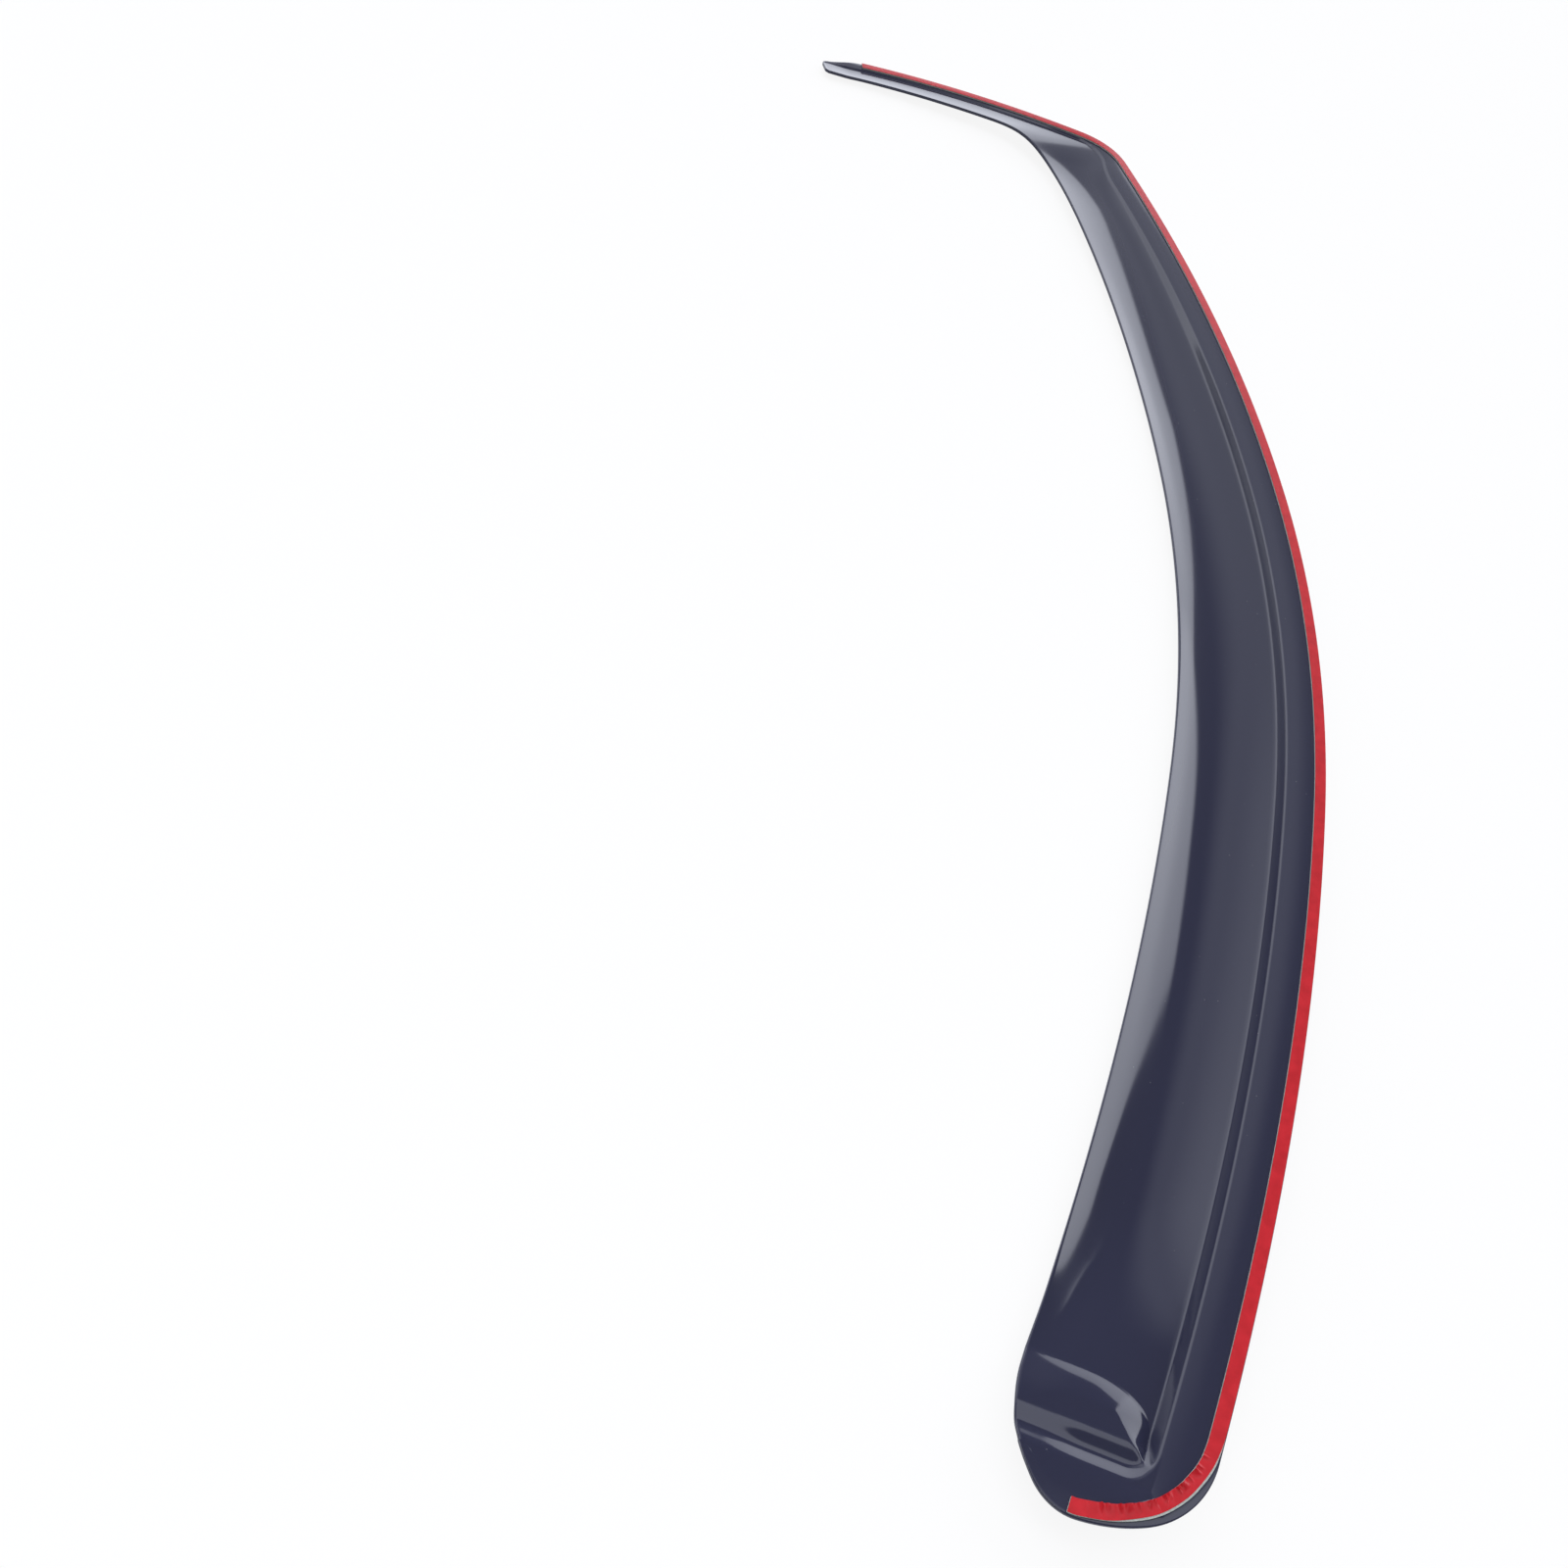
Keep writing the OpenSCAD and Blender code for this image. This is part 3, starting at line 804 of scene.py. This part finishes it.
# materials
class Graph:
    """A node tree, with short ways to add and join its nodes."""

    def __init__(self, owner):
        owner.use_nodes = True
        self.tree = owner.node_tree

    def named(self, name):
        return self.tree.nodes[name]

    def join(self, source, target):
        self.tree.links.new(source, target)

    def add(self, kind, **values):
        """A node with its sockets, or else its settings, set by name."""
        made = self.tree.nodes.new("ShaderNode" + kind)
        for key, value in values.items():
            if key in made.inputs:
                made.inputs[key].default_value = value
            else:
                setattr(made, key, value)
        return made

    def texture(self, kind, output, **values):
        """A texture laid in the object's own metres."""
        made = self.add(kind, **values)
        self.join(self.add("TexCoord").outputs["Object"], made.inputs["Vector"])
        return made.outputs[output]

    def ramp(self, source, *stops):
        """Two colours with a slide between them; each stop is (place, colour)."""
        made = self.add("ValToRGB")
        self.join(source, made.inputs["Fac"])
        for element, (place_at, colour) in zip(made.color_ramp.elements, stops):
            element.position = place_at
            element.color = (*colour, 1)
        return made.outputs["Color"]

    def bump(self, height, strength, distance):
        made = self.add("Bump", Strength=strength, Distance=distance)
        self.join(height, made.inputs["Height"])
        self.join(made.outputs["Normal"], self.named("Principled BSDF").inputs["Normal"])

    def maths(self, operation, a, b=0.0):
        made = self.add("Math", operation=operation)
        for socket, value in zip(made.inputs, (a, b)):
            if isinstance(value, (int, float)):
                socket.default_value = value
            else:
                self.join(value, socket)
        return made.outputs[0]

    def product(self, *factors):
        out = factors[0]
        for f in factors[1:]:
            out = self.maths("MULTIPLY", out, f)
        return out

    def total(self, *terms):
        out = terms[0]
        for t in terms[1:]:
            out = self.maths("ADD", out, t)
        return out

    def above(self, value, line, soft):
        """One above a line and zero below it, with a soft edge."""
        made = self.add("MapRange", interpolation_type="SMOOTHSTEP")
        self.join(value, made.inputs["Value"])
        made.inputs["From Min"].default_value = line - soft
        made.inputs["From Max"].default_value = line + soft
        return made.outputs["Result"]

    def below(self, value, line, soft):
        return self.maths("SUBTRACT", 1, self.above(value, line, soft))

    def between(self, value, low, high, soft):
        return self.product(self.above(value, low, soft), self.below(value, high, soft))


def material(name, colour, roughness):
    mat = bpy.data.materials.new(name)
    graph = Graph(mat)
    shader = graph.named("Principled BSDF")
    shader.inputs["Base Color"].default_value = (*colour, 1)
    shader.inputs["Roughness"].default_value = roughness
    return mat, graph, shader.inputs


def smoked_acrylic():
    """Glossy dark sheet, a little uneven in its polish, with a few specks of dust."""
    smoke, dust = (0.021, 0.022, 0.046), (0.16, 0.16, 0.18)
    mat, graph, inputs = material("smoked_acrylic", smoke, 0.08)
    inputs["IOR"].default_value = 1.49
    cloud = graph.texture("TexNoise", "Fac", Scale=9.0, Detail=3.0)
    graph.join(graph.ramp(cloud, (0.3, (0.07,) * 3), (0.7, (0.10,) * 3)), inputs["Roughness"])
    specks = graph.texture("TexVoronoi", "Distance", Scale=90.0)
    graph.join(graph.ramp(specks, (0.0, dust), (0.035, smoke)), inputs["Base Color"])
    return mat


def acrylic_foam():
    """Matt grey foam with fine cells."""
    mat, graph, inputs = material("acrylic_foam", (0.42, 0.45, 0.41), 0.8)
    cells = graph.texture("TexNoise", "Fac", Scale=1400.0, Detail=2.0)
    shades = graph.ramp(cells, (0.3, (0.34, 0.37, 0.33)), (0.7, (0.48, 0.51, 0.47)))
    graph.join(shades, inputs["Base Color"])
    graph.bump(cells, 0.4, 0.0002)
    return mat


def liner_film():
    """Satin red film with a faint grain."""
    mat, graph, inputs = material("liner_film", (0.50, 0.010, 0.017), 0.34)
    inputs["Specular IOR Level"].default_value = 0.25
    grain = graph.texture("TexNoise", "Fac", Scale=160.0, Detail=4.0)
    shades = graph.ramp(grain, (0.35, (0.46, 0.008, 0.014)), (0.65, (0.55, 0.012, 0.020)))
    graph.join(shades, inputs["Base Color"])
    graph.bump(grain, 0.15, 0.0003)
    return mat


def dress(ob, mat, node):
    ob.data.materials.append(mat)
    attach(ob, "root")
    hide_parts(node)


# studio, in metres; a way out is told by az, its angle from straight back towards the right, by up,
# its angle above the floor, by over, the same seen from the side, and by high, its rise against
# its way back; an AZ or OVER pair is a range, any other pair an edge and half its softness
FLOOR_HALF = 6
FLOOR_GLOW = 0.88
STUDIO_COLOUR = (0.88, 0.91, 1.0)
RANGE_SOFT = 2
BACK_AZ = (-34, 36)
BACK_HIGH = (0.60, 0.02)
BACK_LEVEL = 2.5
RIGHT_AZ = (36, 76)
RIGHT_HIGH = (1.28, 0.03)
RIGHT_LEVEL = 3.2
PANEL_OVER = (71, 95)
PANEL_ASIDE = (0.8, 0.05)
PANEL_LEVEL = 1.8
LEFT_START = (-67.5, 7.5)
LEFT_UP = (62, 8)
LEFT_WIDE = (9, 12)
LEFT_WIDE_LEVEL = 0.65
LEFT_NARROW = (-27, 20)
LEFT_NARROW_LEVEL = 1.5
REST_LEVEL = 0.3
LEAST_DIVISOR = 0.02

# soft lamp behind the camera and to its left, in metres, turned to the middle of the piece
KEY_AT = (-1.2, -2.4, 2.4)
KEY_SIZE = (1.8, 1.2)
KEY_RADIANCE = 3.5


def white_floor():
    """A pale floor that keeps the shadow, and shows as nearly white to the camera."""
    h = FLOOR_HALF
    ob = mesh_object("floor", [(-h, -h, 0), (h, -h, 0), (h, h, 0), (-h, h, 0)], [(0, 1, 2, 3)], smooth=False)
    ob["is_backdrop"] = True
    mat, graph, inputs = material("floor_white", (0.9, 0.9, 0.9), 0.9)
    glow = graph.add("Emission", Strength=1.0, Color=(1, 1, 1, 1))
    both = graph.add("MixShader")
    seen = graph.product(graph.add("LightPath").outputs["Is Camera Ray"], FLOOR_GLOW)
    graph.join(seen, both.inputs["Fac"])
    graph.join(graph.named("Principled BSDF").outputs[0], both.inputs[1])
    graph.join(glow.outputs[0], both.inputs[2])
    graph.join(both.outputs[0], graph.named("Material Output").inputs["Surface"])
    ob.data.materials.append(mat)


def studio_level(graph):
    """How bright the studio is in each direction: its walls and panels, each with its level."""
    ray = graph.add("SeparateXYZ")
    graph.join(graph.add("TexCoord").outputs["Generated"], ray.inputs[0])
    x, y, z = ray.outputs
    in_degrees = lambda angle: graph.product(angle, 180 / pi)
    ratio = lambda a, b: graph.maths("DIVIDE", a, graph.maths("MAXIMUM", b, LEAST_DIVISOR))
    up = in_degrees(graph.maths("ARCSINE", z))
    az = in_degrees(graph.maths("ARCTAN2", x, y))
    over = in_degrees(graph.maths("ARCTAN2", z, y))
    high = ratio(z, y)
    aside = graph.maths("ABSOLUTE", ratio(x, z))
    back_wall = graph.product(graph.between(az, *BACK_AZ, RANGE_SOFT), graph.below(high, *BACK_HIGH))
    right_wall = graph.product(graph.between(az, *RIGHT_AZ, RANGE_SOFT), graph.below(high, *RIGHT_HIGH))
    panel = graph.product(graph.between(over, *PANEL_OVER, RANGE_SOFT), graph.below(aside, *PANEL_ASIDE))
    left_side = graph.total(graph.product(graph.below(az, *LEFT_WIDE), LEFT_WIDE_LEVEL),
                            graph.product(graph.below(az, *LEFT_NARROW), LEFT_NARROW_LEVEL))
    left_side = graph.product(left_side, graph.below(up, *LEFT_UP), graph.above(az, *LEFT_START),
                              graph.maths("SUBTRACT", 1, back_wall))
    return graph.total(graph.product(back_wall, BACK_LEVEL), graph.product(right_wall, RIGHT_LEVEL),
                       left_side, graph.product(panel, PANEL_LEVEL), REST_LEVEL)


def studio_world():
    """A dark studio with bright walls low behind the piece, seen as white by the camera."""
    world = bpy.data.worlds.new("studio")
    bpy.context.scene.world = world
    graph = Graph(world)
    studio = graph.named("Background")
    studio.inputs["Color"].default_value = (*STUDIO_COLOUR, 1)
    graph.join(studio_level(graph), studio.inputs["Strength"])
    white = graph.add("Background", Strength=1.0, Color=(1, 1, 1, 1))
    pick = graph.add("MixShader")
    graph.join(graph.add("LightPath").outputs["Is Camera Ray"], pick.inputs["Fac"])
    graph.join(studio.outputs[0], pick.inputs[1])
    graph.join(white.outputs[0], pick.inputs[2])
    graph.join(pick.outputs[0], graph.named("World Output").inputs["Surface"])


def softbox(name, where, target, size, radiance):
    light = bpy.data.lights.new(name, "AREA")
    light.shape = "RECTANGLE"
    light.size, light.size_y = size
    light.energy = pi * size[0] * size[1] * radiance
    ob = bpy.data.objects.new(name, light)
    bpy.context.scene.collection.objects.link(ob)
    ob.location = where
    ob.rotation_euler = (Vector(target) - Vector(where)).to_track_quat("-Z", "Y").to_euler()


# camera: the photograph's own place and lens, in the shape's frame
CAMERA_DOWN = 50.015
CAMERA_ROLL = -15.616
CAMERA_FAR = 733.61
SENSOR_W = 36
PHOTO_W = 1600
FOCAL_PX = 1450
CLIP_START = 0.01


def camera():
    down, roll = radians(CAMERA_DOWN), radians(CAMERA_ROLL)
    sight = Vector((0, cos(down), -sin(down)))
    level = Vector((1, 0, 0))
    upright = level.cross(sight)
    right = cos(roll) * level - sin(roll) * upright
    above = sin(roll) * level + cos(roll) * upright
    laid = Matrix([lay(axis) for axis in ((1, 0, 0), (0, 1, 0), (0, 0, 1))]).transposed()
    turned = (laid @ Matrix([right, above, -sight]).transposed()).to_4x4()
    turned.translation = Vector(place(-CAMERA_FAR * sight))
    cam = bpy.data.cameras.new("camera")
    cam.sensor_width = SENSOR_W
    cam.lens = SENSOR_W * FOCAL_PX / PHOTO_W
    cam.clip_start = CLIP_START
    ob = bpy.data.objects.new("camera", cam)
    bpy.context.scene.collection.objects.link(ob)
    ob.matrix_world = turned
    bpy.context.scene.camera = ob


dress(visor_sheet(), smoked_acrylic(), "visor")
dress(foam_strip(), acrylic_foam(), "foam_tape")
dress(liner_strip(), liner_film(), "release_liner")
white_floor()
studio_world()
softbox("key_softbox", KEY_AT, (0.0, 0.0, 0.0), KEY_SIZE, KEY_RADIANCE)
camera()
bpy.context.scene.view_settings.view_transform = "Standard"

as_lists = lambda box: [[float(v) for v in corner] for corner in box]
{"cad": as_lists(cad_box), "visual": as_lists(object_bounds())}
